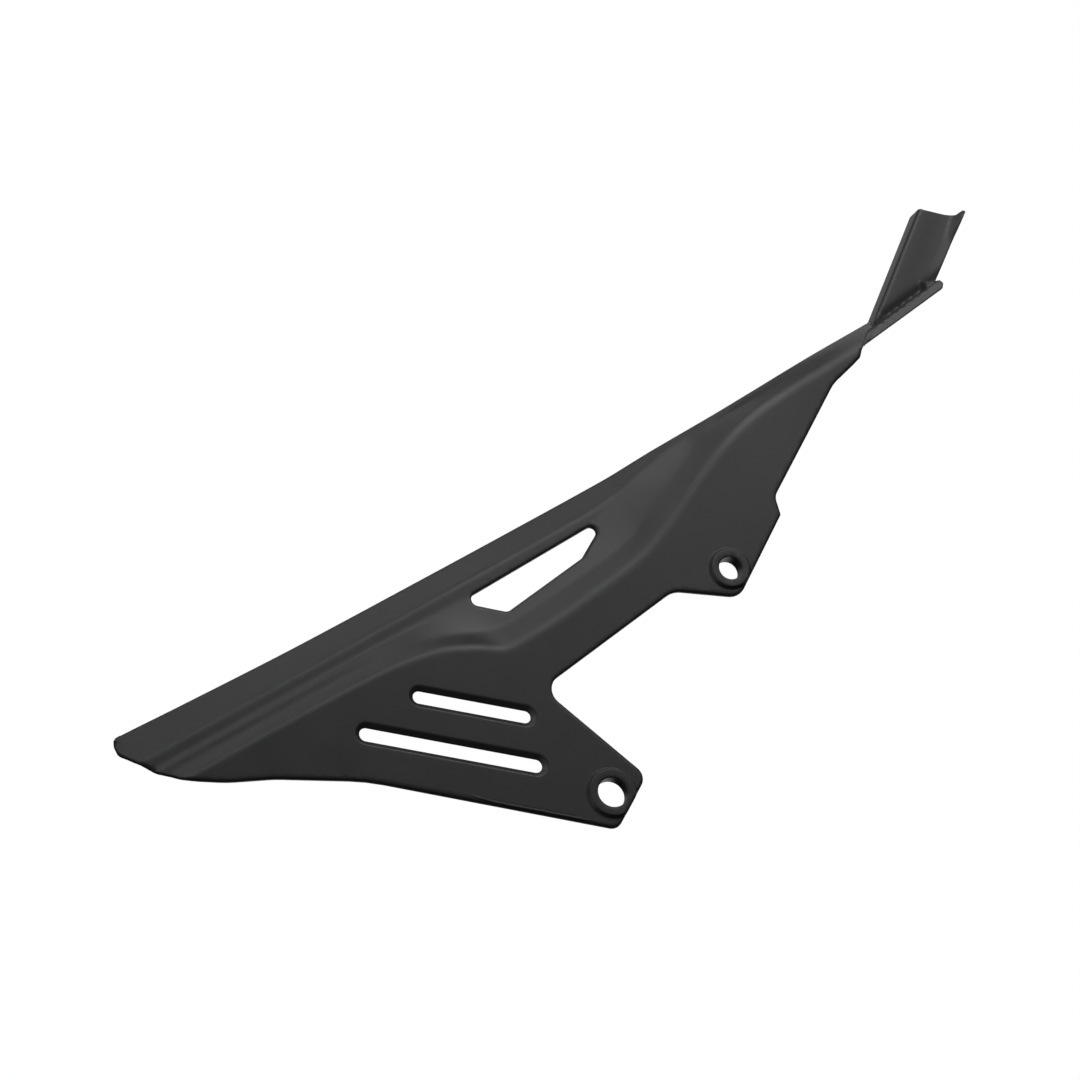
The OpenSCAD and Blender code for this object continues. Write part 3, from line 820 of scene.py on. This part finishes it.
class GUARD_OT_shell(bpy.types.Operator):
    """Build the one-piece guard: roof, panelled side, ears, slots and front horn"""
    bl_idname = "guard.shell"
    bl_label = "Build Guard Shell"

    def execute(self, context):
        sizes, mat = context.scene.guard_sizes, plastic_material(context.scene)
        mm = SimpleNamespace(**{key: getattr(sizes, key) / MM
                                for key in GuardSizes.__annotations__})
        verts, faces, xs = side_mesh(mm)
        shell = new_piece("guard_shell", *joined((verts, faces), roof_mesh(mm, xs)), mat)
        weld(shell, .01)
        sheet = new_piece("horn", *horn_sheet(mm), mat)
        roof = new_piece("horn_roof", *horn_roof(mm), mat)
        weld(sheet)
        weld(roof)
        add_modifier(roof, "BEVEL", width=sizes.edge, segments=3, limit_method="ANGLE")
        settle(roof)
        for piece in (roof, sheet):
            add_modifier(shell, "BOOLEAN", operation="UNION", object=piece, solver="MANIFOLD")
            settle(shell)
            bpy.data.objects.remove(piece)
        clean_seam(shell)
        smooth_shade(shell)
        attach(shell, "root")
        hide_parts("chain_guard")
        return {"FINISHED"}


class GUARD_OT_bead(bpy.types.Operator):
    """Build the low bead that stiffens the lower edge behind the rear ear"""
    bl_idname = "guard.bead"
    bl_label = "Build Edge Bead"

    def execute(self, context):
        # a line of single edges, which the node tree turns into the bead
        pts = (np.array(bead_line()) + KINK) * MM
        mesh = bpy.data.meshes.new("bead_line")
        mesh.from_pydata([tuple(p) for p in pts], [(i, i + 1) for i in range(len(pts) - 1)], [])
        bead = bpy.data.objects.new("edge_bead", mesh)
        context.scene.collection.objects.link(bead)
        tree = bead_tree(plastic_material(context.scene))
        mod = add_modifier(bead, "NODES", node_group=tree)
        socket = next(s for s in tree.interface.items_tree if s.name == "Radius")
        mod[socket.identifier] = context.scene.guard_sizes.bead_radius
        settle(bead)
        smooth_shade(bead)
        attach(bead, "root")
        return {"FINISHED"}


class GUARD_OT_stage(bpy.types.Operator):
    """Set the camera, the soft lights, the white surround and the floor"""
    bl_idname = "guard.stage"
    bl_label = "Set Up Stage"

    def execute(self, context):
        scene = context.scene
        scene.view_settings.view_transform = "Standard"
        data = bpy.data.cameras.new("camera")
        data.lens = SENSOR * FAR / (PICTURE * PIXEL)
        data.clip_start, data.clip_end = .1, 100
        scene.camera = bpy.data.objects.new("camera", data)
        scene.collection.objects.link(scene.camera)
        scene.camera.matrix_world = camera_view()
        lo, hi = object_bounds()
        centre = (lo + hi) / 2
        for name, where, aim, size, power in LIGHTS:
            area_light(name, centre + Vector(where), centre + Vector(aim), size, power)
        scene.world = bpy.data.worlds.new("studio")
        scene.world.use_nodes = True
        surround = "ShaderNodeBackground"
        seen_by_camera(scene.world.node_tree, "ShaderNodeOutputWorld",
                       (surround, {"Color": WHITE, "Strength": DIM}), "Background",
                       (surround, {"Color": WHITE, "Strength": 1}), "Background")
        size, z = FLOOR_SIZE, lo.z - FLOOR_DROP
        mesh = bpy.data.meshes.new("floor")
        mesh.from_pydata([(-size, -size, z), (size, -size, z), (size, size, z), (-size, size, z)],
                         [], [(0, 1, 2, 3)])
        floor = bpy.data.objects.new("floor", mesh)
        scene.collection.objects.link(floor)
        mat = bpy.data.materials.new("studio_floor")
        mat.use_nodes = True
        lit = {"Color": (*scene.guard_colours.floor, 1)}
        seen_by_camera(mat.node_tree, "ShaderNodeOutputMaterial",
                       ("ShaderNodeBsdfDiffuse", lit), "BSDF",
                       ("ShaderNodeEmission", {"Color": WHITE}), "Emission")
        mesh.materials.append(mat)
        floor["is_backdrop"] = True
        return {"FINISHED"}


class GUARD_PT_panel(bpy.types.Panel):
    """Lists the guard's builders and sizes"""
    bl_label = "Chain Guard"
    bl_idname = "GUARD_PT_panel"
    bl_space_type = "VIEW_3D"
    bl_region_type = "UI"
    bl_category = "Chain Guard"

    def draw(self, context):
        col = self.layout.column()
        for group in (context.scene.guard_sizes, context.scene.guard_colours):
            for name in group.__annotations__:
                col.prop(group, name)
        for op in OPERATORS:
            col.operator(op.bl_idname)


OPERATORS = (GUARD_OT_shell, GUARD_OT_bead, GUARD_OT_stage)
CLASSES = (GuardSizes, GuardColours, *OPERATORS, GUARD_PT_panel)


def register():
    for cls in CLASSES:
        bpy.utils.register_class(cls)
    bpy.types.Scene.guard_sizes = bpy.props.PointerProperty(type=GuardSizes)
    bpy.types.Scene.guard_colours = bpy.props.PointerProperty(type=GuardColours)


def unregister():
    del bpy.types.Scene.guard_sizes, bpy.types.Scene.guard_colours
    for cls in reversed(CLASSES):
        bpy.utils.unregister_class(cls)


def main():
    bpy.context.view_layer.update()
    register()
    bpy.ops.guard.shell()
    bpy.ops.guard.bead()
    bpy.ops.guard.stage()


if __name__ == "__main__":
    main()
